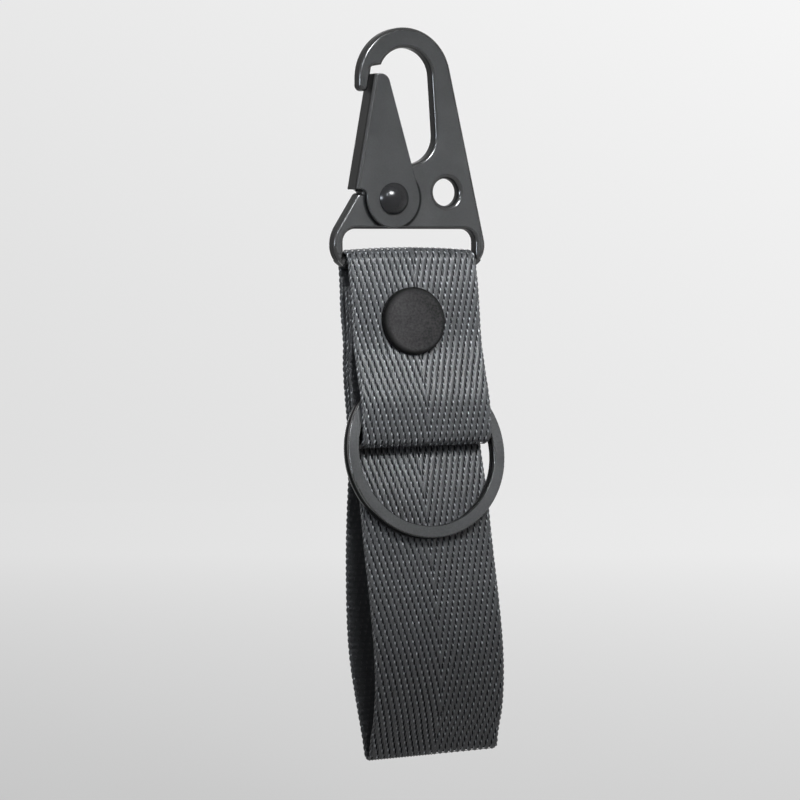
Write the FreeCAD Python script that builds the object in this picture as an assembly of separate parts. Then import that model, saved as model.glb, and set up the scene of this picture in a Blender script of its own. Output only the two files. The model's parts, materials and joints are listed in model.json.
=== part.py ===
import FreeCAD, Part
import math
import os

V = FreeCAD.Vector

# Hook plate. The origin is the saddle, the highest point inside the eye. X runs across the
# front, Y goes back through the plate and Z is up. A drop is a distance below the origin.
plate_t = 2.6
plate_edge_r = 0.65
eye_r = 5.05
eye_lean = 4.0
eye_corner_r = 5.0
eye_floor_lean = 17.5
eye_floor_drop = 18.75
eye_floor_x = 6.0
crown_wall = 3.55
crown_r = 8.95
crown_x = 0.1
nose_drop = 7.7
nose_heel_r = 1.05
nose_tip_r = 0.72
nose_gap = 0.35
nose_corner_r = 0.5
ledge_drop = 3.4
ledge_end_drop = 3.05
base_corner_r = 4.2
hip_rise = 6.1
hip_r = 5.9
shoulder_in = 0.85
shoulder_gap = 0.6
shoulder_r = 0.8
leg_w = 1.9
slot_x = 0.9
slot_side_gap = 0.4
slot_gap = 0.2
slot_h = 7.1
slot_corner_r = 2.3
lanyard_x = 7.95
lanyard_drop = 25.1
lanyard_d = 4.8
lanyard_rim_r = 0.95
bar_d = 2.4

# Gate: a sheet folded to a channel that straddles the plate.
gate_sheet = 0.8
gate_side_gap = 0.15
gate_bend_r = 0.8
gate_edge_r = 0.2
gate_top_drop = 4.65
gate_top_x = 6.4
gate_lean = 10.3
gate_web_drop = 24.75
gate_tip_w = 2.45
gate_tip_r = 1.7
gate_lobe_r = 5.1
gate_neck_r = 1.0
pivot_x = 2.9
pivot_drop = 26.3
boss_gap = 0.8

# Pivot rivet.
rivet_d = 3.0
rivet_head_d = 5.5
rivet_head_h = 1.5
rivet_rim_h = 0.25
running_gap = 0.06
seat_gap = 0.02

# Gate spring: a wire coil round the rivet in a pocket in the back of the plate. Its long leg
# pushes the web, and the pocket leaves its short foot room to turn with the gate.
spring_wire_d = 0.45
spring_turns = 2.25
spring_arcs = 4
spring_pitch = 0.5
spring_gap = 0.15
spring_leg_drop = 17.4
spring_foot = 3.0
gate_travel = 25.0
pocket_slack = 8.0

# Webbing strap. Its drops are measured along the strap from the bar's centre, and its places
# back from that centre, before the whole strap leans forward on the bar.
webbing_w = 25.0
webbing_t = 1.1
bar_gap = 0.1
body_gap = 0.2
strap_lean = 6.5
strap_end_drop = 4.2
strap_set_drop = 5.2
flap_top_drop = 3.0
strap_bend_r = 2.0
stack_place = 0.75
pinch_margin = 0.3
cut_margin = 0.4
cut_gap = 0.15
pocket_margin = 0.3
pocket_place = 1.6
pocket_lean = 6.0
pocket_below_cut = 1.3
loop_len = 54.1
loop_fold_r = 1.1
loop_bend_r = 16.0
loop_front_bulge = 5.3
loop_back_bulge = 5.8
loop_front_drop_shares = (0.157, 0.314, 0.508, 0.693, 0.85)
loop_front_shares = (0.38, 0.53, 0.84, 1.0, 0.75)
loop_back_drop_shares = (0.264, 0.5, 0.656, 0.792)
loop_back_shares = (0.765, 1.0, 1.0, 0.67)

# Snap fastener. It sits a little left of the strap's middle line.
snap_drop = 10.6
snap_offset = 1.2
snap_cap_d = 11.8
snap_cap_h = 1.65
snap_cap_round_r = 0.75
snap_barrel_d = 3.0
snap_socket_d = 8.0
snap_socket_web = 0.4
snap_mouth_d = 5.0
snap_stud_d = 3.6
snap_stud_flange = 0.4
snap_post_d = 8.0
snap_post_h = 0.9
snap_wire_d = 0.4
snap_spring_angle = 320.0

# Flat split key ring of two turns.
ring_side_gap = 0.5
ring_band = 2.1
ring_t = 2.2
ring_turn_gap = 0.2
ring_edge_r = 0.2
ring_below_fold = 1.1
ring_ramp_angle = 40.0
ring_end_angle = 4.0
ring_ramp_steps = 8

# The most of a side that the arcs at its two corners may take.
corner_fit_share = 0.995

# How far a cut runs past what it cuts.
overrun = 5.0

# Places that follow from the sizes above.
plate_y = plate_t / 2
cheek_in = plate_y + gate_side_gap
cheek_out = cheek_in + gate_sheet
half_t = webbing_t / 2
slot_half = webbing_w / 2 + slot_side_gap
slot_drop = pivot_drop + gate_lobe_r + slot_gap
base_drop = slot_drop + slot_h
hip_drop = base_drop - hip_rise
bar_drop = base_drop - bar_d / 2
base_left = slot_x - slot_half - leg_w
base_right = slot_x + slot_half + leg_w
wrap_r = bar_d / 2 + bar_gap + half_t
pivot = (-pivot_x, -pivot_drop)
snap_place = (slot_x - snap_offset, -snap_drop)
spring_r = rivet_d / 2 + spring_gap + spring_wire_d / 2
spring_back = plate_y - spring_gap - spring_wire_d / 2
spring_front = spring_back - spring_turns * spring_pitch
ring_id = webbing_w + 2 * ring_side_gap
ring_od = ring_id + 2 * ring_band
pinch_drop = snap_drop + snap_socket_d / 2 + pinch_margin
cut_drop = snap_drop + snap_cap_d / 2 + cut_margin
pocket_half = ring_t / 2 + body_gap + half_t
pocket_drop = cut_drop + pocket_below_cut
ring_drop = pocket_drop + pocket_margin + ring_od / 2
fold_drop = ring_drop - ring_below_fold
loop_drop = fold_drop + loop_len
end_place = -stack_place - body_gap / 2 - half_t
flap_place = end_place - webbing_t
loop_end_place = -stack_place + body_gap / 2 + half_t
back_place = loop_end_place + webbing_t


def rad(angle):
    return math.radians(angle)


def polar(centre, r, angle):
    """The point of a plane at an angle round a centre."""
    return (centre[0] + r * math.cos(rad(angle)), centre[1] + r * math.sin(rad(angle)))


def angle_at(centre, p):
    """The angle of a point round a centre, from 0 to a full turn."""
    return math.degrees(math.atan2(p[1] - centre[1], p[0] - centre[0])) % 360


def shifted(p, direction, distance):
    """A point moved along a direction of the plane."""
    size = math.hypot(direction[0], direction[1])
    return (p[0] + direction[0] / size * distance, p[1] + direction[1] / size * distance)


def crossing(p, p_dir, q, q_dir):
    """Where two lines of a plane cross."""
    det = p_dir[0] * q_dir[1] - p_dir[1] * q_dir[0]
    t = ((q[0] - p[0]) * q_dir[1] - (q[1] - p[1]) * q_dir[0]) / det
    return (p[0] + t * p_dir[0], p[1] + t * p_dir[1])


def on_circle(p, direction, centre, r):
    """Where a line that starts inside or before a circle leaves it."""
    far = shifted(p, direction, (centre[0] - p[0]) * direction[0] + (centre[1] - p[1]) * direction[1])
    off = math.hypot(far[0] - centre[0], far[1] - centre[1])
    return shifted(far, direction, math.sqrt(r ** 2 - off ** 2))


def outer_tangent(c1, r1, c2, r2):
    """Angle of the outward normal of the right-hand line that touches two circles."""
    dx, dz = c2[0] - c1[0], c2[1] - c1[1]
    return math.degrees(math.atan2(dz, dx) + math.acos((r1 - r2) / math.hypot(dx, dz)))


def front(p):
    """A point of an outline in the plane of the plate."""
    return V(p[0], 0, p[1])


def side(p):
    """A point of a route in the plane across the bar."""
    return V(0, p[0], p[1])


def corner(a, b, c, r):
    """Start, middle and end of the arc of radius r that rounds the corner b."""
    u = V(a[0] - b[0], a[1] - b[1], 0).normalize()
    w = V(c[0] - b[0], c[1] - b[1], 0).normalize()
    half = u.getAngle(w) / 2
    tip = V(b[0], b[1], 0)
    inward = (u + w).normalize()
    middle = tip + inward * (r / math.sin(half) - r)
    reach = r / math.tan(half)
    start, end = tip + u * reach, tip + w * reach
    return (start.x, start.y), (middle.x, middle.y), (end.x, end.y)


def fitted(points, radii):
    """The radii of corners, made smaller where two arcs would meet on the side between them."""
    reaches = [0] * len(points)
    shares = [1] * len(points)
    for i in range(1, len(points) - 1):
        start = corner(points[i - 1], points[i], points[i + 1], radii[i])[0]
        reaches[i] = math.dist(points[i], start)
    for i in range(1, len(points)):
        room = corner_fit_share * math.dist(points[i - 1], points[i])
        share = min(1, room / max(room, reaches[i - 1] + reaches[i]))
        shares[i - 1] = min(shares[i - 1], share)
        shares[i] = min(shares[i], share)
    return [r * share for r, share in zip(radii, shares)]


def rounded(points, radii, place):
    """Edges through points of a plane, with an arc at each inner point that has a radius."""
    edges = []
    last = points[0]
    radii = fitted(points, radii)
    for i in range(1, len(points)):
        start = end = points[i]
        arc = None
        if i < len(points) - 1 and radii[i]:
            start, middle, end = corner(points[i - 1], points[i], points[i + 1], radii[i])
            arc = Part.Arc(place(start), place(middle), place(end)).toShape()
        edges.append(Part.makeLine(place(last), place(start)))
        if arc:
            edges.append(arc)
        last = end
    return edges


def arc_edge(start, middle, end):
    return Part.Arc(front(start), front(middle), front(end)).toShape()


def face_of(edges):
    return Part.Face(Part.Wire(Part.__sortEdges__(edges)))


def slab(edges, y_front, y_back):
    """A closed outline of the plate's plane as a solid between two places in Y."""
    face = face_of(edges)
    face.translate(V(0, y_front, 0))
    return face.extrude(V(0, y_back - y_front, 0))


def rod(d, place, y_front, y_back):
    """A round bar along Y at a place in the plate's plane."""
    return Part.makeCylinder(d / 2, y_back - y_front, V(place[0], y_front, place[1]), V(0, 1, 0))


def edges_at(shape, y):
    """Edges of a shape that lie in the plane at a place in Y."""
    boxes = [(edge, edge.BoundBox) for edge in shape.Edges]
    return [edge for edge, box in boxes if abs(box.YMin - y) + abs(box.YMax - y) < seat_gap]


def is_round(edge, d):
    """Whether an edge closes on itself and is as long as a circle of a diameter."""
    return edge.isClosed() and abs(edge.Length - math.pi * d) < seat_gap


def gate_line(drop, inset=0):
    """The outer face of the gate's web at a drop, moved in towards the eye."""
    x = -gate_top_x - (drop - gate_top_drop) * math.tan(rad(gate_lean))
    return (x + inset / math.cos(rad(gate_lean)), -drop)


def plate_outline():
    """The hook's edge, from the nose round the crown, spine and foot and back through the eye."""
    crown = (-crown_x, crown_wall - crown_r)
    eye = (0, -eye_r)
    foot = (base_right - base_corner_r, -base_drop + base_corner_r)
    spine_lean = outer_tangent(crown, crown_r, foot, base_corner_r)
    spine_top = polar(crown, crown_r, spine_lean)
    spine_way = (math.sin(rad(spine_lean)), -math.cos(rad(spine_lean)))
    foot_right = crossing(spine_top, spine_way, (0, -base_drop), (1, 0))
    nose_way = (-math.sin(rad(gate_lean)), -math.cos(rad(gate_lean)))
    nose_top = gate_line(gate_top_drop, -nose_gap)
    nose_in = crossing(nose_top, nose_way, (0, -nose_drop), (1, 0))
    crown_left = polar(crown, crown_r, 180)
    nose_out = (crown_left[0], -nose_drop)
    shoulder = gate_line(gate_web_drop + shoulder_gap, shoulder_in)
    boss_r = boss_radius()
    floor_way = (-math.cos(rad(eye_floor_lean)), -math.sin(rad(eye_floor_lean)))
    eye_corner = (eye_floor_x, -eye_floor_drop)
    boss_top = on_circle(eye_corner, floor_way, pivot, boss_r)
    boss_low = on_circle((pivot[0], shoulder[1]), (-1, 0), pivot, boss_r)
    boss_middle = polar(pivot, boss_r, (angle_at(pivot, boss_top) + angle_at(pivot, boss_low)) / 2)
    eye_right = polar(eye, eye_r, eye_lean)
    eye_left = on_circle((0, -ledge_end_drop), (-1, 0), eye, eye_r)
    ledge = crossing(nose_top, nose_way, (0, -ledge_drop), (1, 0))
    edges = [arc_edge(crown_left, polar(crown, crown_r, 90 + spine_lean / 2), spine_top)]
    foot_left, hip = (base_left, -base_drop), (base_left, -hip_drop)
    edges += rounded([spine_top, foot_right, foot_left, hip, shoulder, boss_low],
                     [0, base_corner_r, base_corner_r, hip_r, shoulder_r, 0], front)
    edges.append(arc_edge(boss_low, boss_middle, boss_top))
    edges += rounded([boss_top, eye_corner, eye_right], [0, eye_corner_r, 0], front)
    edges.append(arc_edge(eye_right, polar(eye, eye_r, 90), eye_left))
    edges += rounded([eye_left, ledge, nose_in, nose_out, crown_left],
                     [0, nose_corner_r, nose_tip_r, nose_heel_r, 0], front)
    return edges


def web_depth(p):
    """How far a point lies under the web's outer face, towards the eye."""
    top = gate_line(gate_top_drop)
    return (p[0] - top[0]) * math.cos(rad(gate_lean)) - (p[1] - top[1]) * math.sin(rad(gate_lean))


def boss_radius():
    """Radius of the plate's round boss inside the gate."""
    return web_depth(pivot) - gate_sheet - boss_gap


def hook_body():
    """The cast plate with its eye, lanyard hole, slot and bar."""
    plate = slab(plate_outline(), -plate_y, plate_y)
    left, right = slot_x - slot_half, slot_x + slot_half
    low = -base_drop - overrun
    corners = [(left, low), (left, -slot_drop), (right, -slot_drop), (right, low), (left, low)]
    window = rounded(corners, [0, slot_corner_r, slot_corner_r, 0, 0], front)
    plate = plate.cut(slab(window, -plate_t, plate_t))
    plate = plate.makeFillet(plate_edge_r, edges_at(plate, -plate_y) + edges_at(plate, plate_y))
    plate = plate.cut(rod(lanyard_d, (lanyard_x, -lanyard_drop), -plate_t, plate_t))
    rims = [e for e in edges_at(plate, -plate_y) + edges_at(plate, plate_y) if is_round(e, lanyard_d)]
    plate = plate.makeFillet(lanyard_rim_r, rims)
    plate = plate.cut(rod(rivet_d + 2 * seat_gap, pivot, -plate_t, plate_t))
    for pocket in spring_pockets():
        plate = plate.cut(pocket)
    start = V(left - leg_w / 2, 0, -bar_drop)
    bar = Part.makeCylinder(bar_d / 2, 2 * slot_half + leg_w, start, V(1, 0, 0))
    bar = bar.common(slab(plate_outline(), -plate_t, plate_t))
    return plate.fuse(bar).removeSplitter()


def gate_outline():
    """The gate from the front: web on the left, slanting edge on the right, round lobe below."""
    top = gate_line(gate_top_drop)
    web_end = gate_line(gate_web_drop)
    tip = (top[0] + gate_tip_w, top[1])
    reach = math.dist(tip, pivot)
    lobe_angle = angle_at(pivot, tip) - math.degrees(math.acos(gate_lobe_r / reach))
    lobe_right = polar(pivot, gate_lobe_r, lobe_angle)
    neck = (pivot[0] - gate_lobe_r, web_end[1])
    lobe_left = polar(pivot, gate_lobe_r, 180)
    edges = rounded([lobe_left, neck, web_end, top, tip, lobe_right],
                    [0, gate_neck_r, 0, 0, gate_tip_r, 0], front)
    edges.append(arc_edge(lobe_left, polar(pivot, gate_lobe_r, (180 + 360 + lobe_angle) / 2), lobe_right))
    return edges


def gate():
    """The folded gate: two cheeks and the web that joins them."""
    block = slab(gate_outline(), -cheek_out, cheek_out)
    web = [e for e in edges_at(block, -cheek_out) + edges_at(block, cheek_out) if on_web(e)]
    block = block.makeFillet(gate_bend_r, web)
    top = gate_line(gate_top_drop - overrun, gate_sheet)
    low = gate_line(pivot_drop + gate_lobe_r + overrun, gate_sheet)
    far = pivot[0] + gate_lobe_r + overrun
    inside = rounded([top, (far, top[1]), (far, low[1]), low, top], [0, 0, 0, 0, 0], front)
    channel = block.cut(slab(inside, -cheek_in, cheek_in))
    rims = [e for e in edges_at(channel, -cheek_out) + edges_at(channel, cheek_out)
            if not on_web(e, gate_bend_r)]
    channel = channel.makeFillet(gate_edge_r, rims)
    return channel.cut(rod(rivet_d + 2 * running_gap, pivot, -2 * cheek_out, 2 * cheek_out))


def on_web(edge, inset=0):
    """Whether both ends of an edge lie at a depth under the web's outer face."""
    return all(abs(web_depth((v.X, v.Z)) - inset) < seat_gap for v in edge.Vertexes)


def dome(r, rim_h, h, centre, way):
    """A turned button: a low rim under a dome, standing on a plane at its centre, towards way."""
    start, crest = V(r, 0, rim_h), V(0, 0, h)
    ball = ((h - rim_h) ** 2 + r ** 2) / (2 * (h - rim_h))
    lean = math.asin(r / ball) / 2
    middle = V(ball * math.sin(lean), 0, h - ball + ball * math.cos(lean))
    edges = [Part.makeLine(V(0, 0, 0), V(r, 0, 0)), Part.makeLine(V(r, 0, 0), start),
             Part.Arc(start, middle, crest).toShape(), Part.makeLine(crest, V(0, 0, 0))]
    solid = face_of(edges).revolve(V(0, 0, 0), V(0, 0, 1), 360)
    solid.rotate(V(0, 0, 0), V(1, 0, 0), -90 * way)
    solid.translate(centre)
    return solid


def gate_rivet():
    """The pivot's shank with a domed head on each side of the gate."""
    seat = cheek_out + running_gap
    shape = rod(rivet_d, pivot, -seat, seat)
    for way in (-1, 1):
        place = V(pivot[0], way * seat, pivot[1])
        shape = shape.fuse(dome(rivet_head_d / 2, rivet_rim_h, rivet_head_h, place, way))
    return shape.removeSplitter()


def spring_leg():
    """The end of the spring's long leg inside the web, and the angle where it leaves the coil."""
    end = gate_line(spring_leg_drop, gate_sheet + spring_gap + spring_wire_d / 2)
    reach = math.dist(end, pivot)
    return end, angle_at(pivot, end) + math.degrees(math.acos(spring_r / reach))


def wedge(r, start, end, y_front):
    """A cut from the plate's back between two angles round the pivot."""
    edges = [Part.makeLine(front(pivot), front(polar(pivot, r, angle))) for angle in (start, end)]
    edges.append(arc_edge(polar(pivot, r, start), polar(pivot, r, (start + end) / 2), polar(pivot, r, end)))
    return slab(edges, y_front, plate_t)


def spring_pockets():
    """The round pocket of the coil and the cuts in which the spring's two legs turn."""
    room = spring_wire_d / 2 + spring_gap
    floor = spring_front - room
    leg_angle = spring_leg()[1]
    foot_angle = leg_angle + 360 * spring_turns
    foot_end = math.hypot(spring_r, spring_foot)
    foot_far = foot_angle + math.degrees(math.acos(spring_r / foot_end)) + pocket_slack
    boss_r = boss_radius()
    leg_far = leg_angle - math.degrees(math.acos(spring_r / boss_r)) - gate_travel - pocket_slack
    leg_side = polar(pivot, spring_r + room, leg_angle)
    leg_way = (math.sin(rad(leg_angle)), -math.cos(rad(leg_angle)))
    corners = [pivot, leg_side, shifted(leg_side, leg_way, boss_r + overrun),
               polar(pivot, boss_r + overrun, leg_far), pivot]
    return [rod(2 * (spring_r + room), pivot, floor, plate_t),
            wedge(foot_end + room, foot_angle - gate_travel, foot_far, floor),
            slab(rounded(corners, [0] * len(corners), front), spring_back - room, plate_t)]


def coil_point(foot_angle, share):
    """A point of the coil's middle line at a share of its length from the foot."""
    p = polar(pivot, spring_r, foot_angle - 360 * spring_turns * share)
    return V(p[0], spring_front + (spring_back - spring_front) * share, p[1])


def gate_spring():
    """The coil round the rivet with a leg to the web and a foot in the plate."""
    end, leg_angle = spring_leg()
    foot_angle = leg_angle + 360 * spring_turns
    arcs = round(spring_turns * spring_arcs)
    coil = [coil_point(foot_angle, i / (2 * arcs)) for i in range(2 * arcs + 1)]
    edges = [Part.Arc(*coil[2 * i:2 * i + 3]).toShape() for i in range(arcs)]
    way = edges[0].tangentAt(edges[0].FirstParameter)
    section = Part.Wire(Part.makeCircle(spring_wire_d / 2, coil[0], way))
    shape = Part.Wire(edges).makePipeShell([section], True, False)
    leg_start = polar(pivot, spring_r, leg_angle)
    foot_start = polar(pivot, spring_r, foot_angle)
    foot_far = polar(foot_start, spring_foot, foot_angle + 90)
    for a, b, y in ((leg_start, end, spring_back), (foot_start, foot_far, spring_front)):
        a = shifted(a, (a[0] - b[0], a[1] - b[1]), spring_wire_d / 2)
        way = V(b[0] - a[0], 0, b[1] - a[1])
        leg_r = spring_wire_d / 2 - seat_gap
        shape = shape.fuse(Part.makeCylinder(leg_r, way.Length, V(a[0], y, a[1]), way))
    return shape.removeSplitter()


def offset_route(points, offset):
    """A route moved to the left of its direction, which is back for a route that goes down."""
    ways = [(b[0] - a[0], b[1] - a[1]) for a, b in zip(points, points[1:])]
    starts = [shifted(p, (-w[1], w[0]), offset) for p, w in zip(points, ways)]
    moved = [starts[0]]
    for i in range(1, len(ways)):
        moved.append(crossing(starts[i - 1], ways[i - 1], starts[i], ways[i]))
    return moved + [shifted(points[-1], (-ways[-1][1], ways[-1][0]), offset)]


def offset_radii(points, radii, offset):
    """The corner radii of a route that is moved to the left."""
    sized = [0]
    for i in range(1, len(points) - 1):
        a, b, c = points[i - 1], points[i], points[i + 1]
        left = (b[0] - a[0]) * (c[1] - b[1]) - (b[1] - a[1]) * (c[0] - b[0]) > 0
        sized.append(radii[i] - offset if left else radii[i] + offset)
    return sized + [0]


def strip(points, radii):
    """Webbing along a route across the bar, with arcs at its corners."""
    sides = [(offset_route(points, d), offset_radii(points, radii, d)) for d in (half_t, -half_t)]
    edges = [edge for route, sizes in sides for edge in rounded(route, sizes, side)]
    edges += [Part.makeLine(side(sides[0][0][i]), side(sides[1][0][i])) for i in (0, -1)]
    face = face_of(edges)
    face.translate(V(slot_x - webbing_w / 2, 0, 0))
    return face.extrude(V(webbing_w, 0, 0))


def wrap_lean(place):
    """Lean of the webbing's middle line from the bar to the corner where it meets the stack."""
    reach = math.hypot(place, strap_set_drop)
    return math.degrees(math.atan2(abs(place), strap_set_drop) - math.asin(wrap_r / reach))


def pocket_line(place, drop):
    """A line of the ring's pocket at a drop, from its place level with the pocket's top."""
    return (place - (drop - pocket_drop) * math.tan(rad(pocket_lean)), -drop)


def at_drop(a, b, drop):
    """The point of a straight run at a drop."""
    share = (-drop - a[1]) / (b[1] - a[1])
    return (a[0] + (b[0] - a[0]) * share, -drop)


def flap_route():
    """The flap's middle line from the bar down to the top of the pocket."""
    lean = wrap_lean(flap_place)
    start = polar((0, 0), wrap_r, 180 - lean)
    return [start, (flap_place, -strap_set_drop), (flap_place, -pinch_drop),
            pocket_line(-pocket_place - pocket_half, pocket_drop)]


def return_route():
    """The middle line of the end that comes back up behind the ring, from its top."""
    return [(end_place, -strap_end_drop), (end_place, -pinch_drop),
            pocket_line(-pocket_place + pocket_half, pocket_drop),
            pocket_line(-pocket_place + pocket_half, fold_drop)]


def strap_flap():
    """The flap from below the bar to the cut, with the end that is riveted behind it."""
    flap = flap_route()
    ends = return_route()[:3]
    flap[0] = at_drop(flap[0], flap[1], flap_top_drop)
    flap[-1] = at_drop(flap[-2], flap[-1], cut_drop)
    ends[-1] = at_drop(ends[-2], ends[-1], cut_drop)
    shape = strip(flap, [0, strap_bend_r, strap_bend_r, 0]).fuse(strip(ends, [0, strap_bend_r, 0]))
    place = snap_place
    stack = end_place - half_t
    face = flap_place - half_t
    shape = shape.cut(rod(snap_cap_d + 2 * seat_gap, place, face - overrun, face))
    shape = shape.cut(rod(snap_barrel_d + 2 * seat_gap, place, face, stack))
    shape = shape.cut(rod(snap_socket_d + 2 * seat_gap, place, stack, stack + webbing_t))
    return shape.removeSplitter()


def strap_ring_fold():
    """The lower flap folded through the ring and back up behind it."""
    flap, ends = flap_route(), return_route()
    low = fold_drop - half_t
    across = (math.cos(rad(pocket_lean)), -math.sin(rad(pocket_lean)))
    fold_front = pocket_line(-pocket_place - pocket_half, low)
    down = (fold_front[0] - flap[-1][0], fold_front[1] - flap[-1][1])
    fold_back = crossing(fold_front, across, ends[2], down)
    route = [at_drop(flap[-2], flap[-1], cut_drop + cut_gap), flap[-1], fold_front, fold_back, ends[2],
             at_drop(ends[-3], ends[-2], cut_drop + cut_gap)]
    fold_r = math.dist(fold_front, fold_back) / 2 - seat_gap
    return strip(route, [0, strap_bend_r, fold_r, fold_r, strap_bend_r, 0])


def loop_points(drop_shares, shares, bulge):
    """The belly of the belt loop: places at shares of its length below the fold."""
    drops = [fold_drop + (loop_drop - fold_drop) * share for share in drop_shares]
    return [(bulge * share, -drop) for share, drop in zip(shares, drops)]


def strap_loop():
    """The strap round the bar, down the back, round the loop's foot and up to its riveted end."""
    upper = offset_route(return_route(), webbing_t + body_gap)
    behind = offset_route(return_route(), 2 * webbing_t + body_gap)
    lean = wrap_lean(back_place)
    back_start = polar((0, 0), wrap_r, lean)
    back_set = (behind[0][0], -strap_set_drop)
    belly = loop_points(loop_back_drop_shares, loop_back_shares, loop_back_bulge)
    chest = loop_points(loop_front_drop_shares, loop_front_shares, -loop_front_bulge)
    foot = -loop_drop + half_t
    foot_points = [(loop_fold_r, foot), (-loop_fold_r, foot)]
    split = at_drop(upper[3], chest[0], (fold_drop - chest[0][1]) / 2)
    down = [back_start, back_set] + behind[1:] + belly + foot_points + chest[::-1] + [split]
    radii = [0] + [strap_bend_r] * 3 + [loop_bend_r] * (len(belly) + 1)
    radii += [loop_fold_r - seat_gap] * 2 + [loop_bend_r] * len(chest) + [0]
    shape = strip(down, radii)
    up = upper + [split]
    shape = shape.fuse(strip(up, [0, strap_bend_r, strap_bend_r, loop_bend_r, 0]))
    flap = flap_route()
    flap[1] = at_drop(flap[0], flap[1], flap_top_drop - cut_gap)
    shape = shape.fuse([bar_wrap(180 - wrap_lean(flap_place), lean), strip(flap[:2], [0, 0])])
    place = snap_place
    front_y, back_y = loop_end_place - half_t, back_place + half_t
    shape = shape.cut(rod(snap_socket_d + 2 * seat_gap, place, front_y, front_y + snap_stud_flange))
    shape = shape.cut(rod(snap_barrel_d + 2 * seat_gap, place, front_y, back_y))
    shape = shape.cut(rod(snap_post_d + 2 * seat_gap, place, back_y, back_y + overrun))
    return shape.removeSplitter()


def bar_wrap(start_angle, end_angle):
    """The webbing that goes over the bar between two angles round it."""
    rims = [(wrap_r + half_t, start_angle, end_angle), (wrap_r - half_t, start_angle, end_angle)]
    edges = []
    for r, a, b in rims:
        points = [side(polar((0, 0), r, angle)) for angle in (a, (a + b) / 2, b)]
        edges.append(Part.Arc(*points).toShape())
    for angle in (start_angle, end_angle):
        ends = [side(polar((0, 0), r, angle)) for r, _, _ in rims]
        edges.append(Part.makeLine(*ends))
    face = face_of(edges)
    face.translate(V(slot_x - webbing_w / 2, 0, 0))
    return face.extrude(V(webbing_w, 0, 0))


def snap_cap():
    """The cap on the flap's face with the barrel that holds the flap and socket together."""
    place = snap_place
    face_y = flap_place - half_t
    shape = rod(snap_cap_d, place, face_y - snap_cap_h, face_y)
    shape = shape.makeFillet(snap_cap_round_r, edges_at(shape, face_y - snap_cap_h))
    socket_y = end_place - half_t + snap_socket_web
    return shape.fuse(rod(snap_barrel_d, place, face_y, socket_y)).removeSplitter()


def snap_socket():
    """The socket let into the back of the flap's end."""
    place = snap_place
    front_y = end_place - half_t
    shape = rod(snap_socket_d, place, front_y, front_y + webbing_t)
    shape = shape.cut(rod(snap_mouth_d, place, front_y + snap_socket_web, front_y + webbing_t + overrun))
    return shape.cut(rod(snap_barrel_d + 2 * seat_gap, place, front_y - overrun, front_y + webbing_t))


def snap_spring():
    """The open wire ring in the socket's mouth that grips the stud."""
    place = snap_place
    r = (snap_mouth_d - snap_wire_d) / 2 - seat_gap
    y = end_place - half_t + (snap_socket_web + webbing_t) / 2
    section = Part.Wire(Part.makeCircle(snap_wire_d / 2, V(place[0] + r, y, place[1]), V(0, 0, 1)))
    return Part.Face(section).revolve(V(place[0], y, place[1]), V(0, 1, 0), snap_spring_angle)


def snap_stud():
    """The stud let into the front of the loop's end, standing into the socket."""
    place = snap_place
    front_y = loop_end_place - half_t
    shape = rod(snap_socket_d, place, front_y, front_y + snap_stud_flange)
    tip = end_place - half_t + snap_socket_web + body_gap
    return shape.fuse(rod(snap_stud_d, place, tip, front_y)).removeSplitter()


def snap_post():
    """The rear post: a low head on the back layer and a barrel to the stud."""
    place = snap_place
    back_y = back_place + half_t
    stud_y = loop_end_place - half_t + snap_stud_flange
    head = dome(snap_post_d / 2, snap_post_h / 2, snap_post_h, V(place[0], back_y, place[1]), 1)
    return head.fuse(rod(snap_barrel_d, place, stud_y, back_y)).removeSplitter()


def ring_section(angle, y):
    """The section of one turn of the key ring at an angle from its top and a place in Y."""
    half_band, half_turn = ring_band / 2, (ring_t - ring_turn_gap) / 4
    middle = ring_id / 2 + half_band
    points = [(-half_band, 0), (-half_band, -half_turn), (half_band, -half_turn), (half_band, half_turn),
              (-half_band, half_turn), (-half_band, 0)]
    edges = rounded(points, [0] + [ring_edge_r] * 4 + [0], lambda p: V(0, y + p[1], middle + p[0]))
    wire = Part.Wire(edges)
    wire.rotate(V(0, 0, 0), V(0, 1, 0), angle)
    return wire


def key_ring():
    """Two flat turns joined by a ramp, in the plane of the plate round the origin."""
    offset = (ring_t + ring_turn_gap) / 4
    half_ramp = ring_ramp_angle / 2
    sweep = 360 - ring_ramp_angle - ring_end_angle
    turns = []
    for y, start, way in ((-offset, half_ramp, 1), (offset, -half_ramp, -1)):
        face = Part.Face(ring_section(start, y))
        turns.append(face.revolve(V(0, 0, 0), V(0, way, 0), sweep))
    sections = []
    for i in range(ring_ramp_steps + 1):
        share = i / ring_ramp_steps
        ease = share * share * (3 - 2 * share)
        sections.append(ring_section(half_ramp - ring_ramp_angle * share, -offset + 2 * offset * ease))
    ramp = Part.makeLoft(sections, True, False)
    return turns[0].fuse([ramp, turns[1]]).removeSplitter()


def ring_centre():
    """The ring's centre across the bar, before the strap leans."""
    return pocket_line(-pocket_place, ring_drop)


def leaned(shape):
    """A piece of the strap hung on the bar and leaned forward with it."""
    shape.rotate(V(0, 0, 0), V(1, 0, 0), -strap_lean)
    shape.translate(V(0, 0, -bar_drop))
    return shape


def hung_ring():
    """The key ring in the pocket of the fold."""
    shape = key_ring()
    shape.rotate(V(0, 0, 0), V(1, 0, 0), -pocket_lean)
    centre = ring_centre()
    shape.translate(V(slot_x, centre[0], centre[1]))
    return shape


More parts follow.
